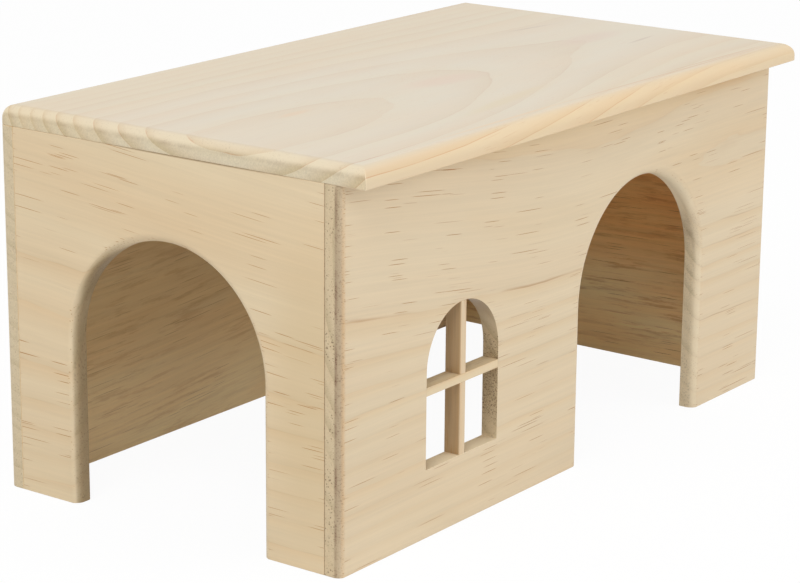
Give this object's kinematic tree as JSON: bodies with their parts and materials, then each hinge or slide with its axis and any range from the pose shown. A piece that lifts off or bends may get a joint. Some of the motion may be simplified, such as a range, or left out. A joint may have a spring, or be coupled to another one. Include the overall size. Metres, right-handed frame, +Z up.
{
  "type": "wooden hamster house",
  "caption": "Flat-roofed wooden house for hamsters, with no floor, a round-headed doorway in one end and in the front, and a round-headed window with crossed bars.",
  "frame": {"origin": "on the ground, under the middle of the roof board, which is the bottom centre of the whole house", "axes": "+X along the front from the end with the doorway to the plain end, +Y from the front wall to the back wall, +Z up"},
  "size_m": [0.28, 0.16, 0.14],
  "materials": {
    "front_wall_pine": "bare, fine-sanded pine",
    "back_wall_pine": "bare, fine-sanded pine",
    "left_end_wall_pine": "bare, fine-sanded pine",
    "right_end_wall_pine": "bare, fine-sanded pine",
    "roof_pine": "bare, fine-sanded pine",
    "window_bar_pine": "bare, fine-sanded pine",
    "dowel_beech": "smooth turned beech"
  },
  "bodies": {
    "root": {"front_wall": "front_wall_pine", "back_wall": "back_wall_pine", "left_end_wall": "left_end_wall_pine", "right_end_wall": "right_end_wall_pine", "roof_board": "roof_pine", "window_bar_horizontal": "window_bar_pine", "window_bar_vertical": "window_bar_pine", "front_left_corner_dowels": "dowel_beech", "front_right_corner_dowels": "dowel_beech", "back_left_corner_dowels": "dowel_beech", "back_right_corner_dowels": "dowel_beech", "front_roof_dowels": "dowel_beech", "back_roof_dowels": "dowel_beech", "left_roof_dowels": "dowel_beech", "right_roof_dowels": "dowel_beech"}
  },
  "joints": []
}
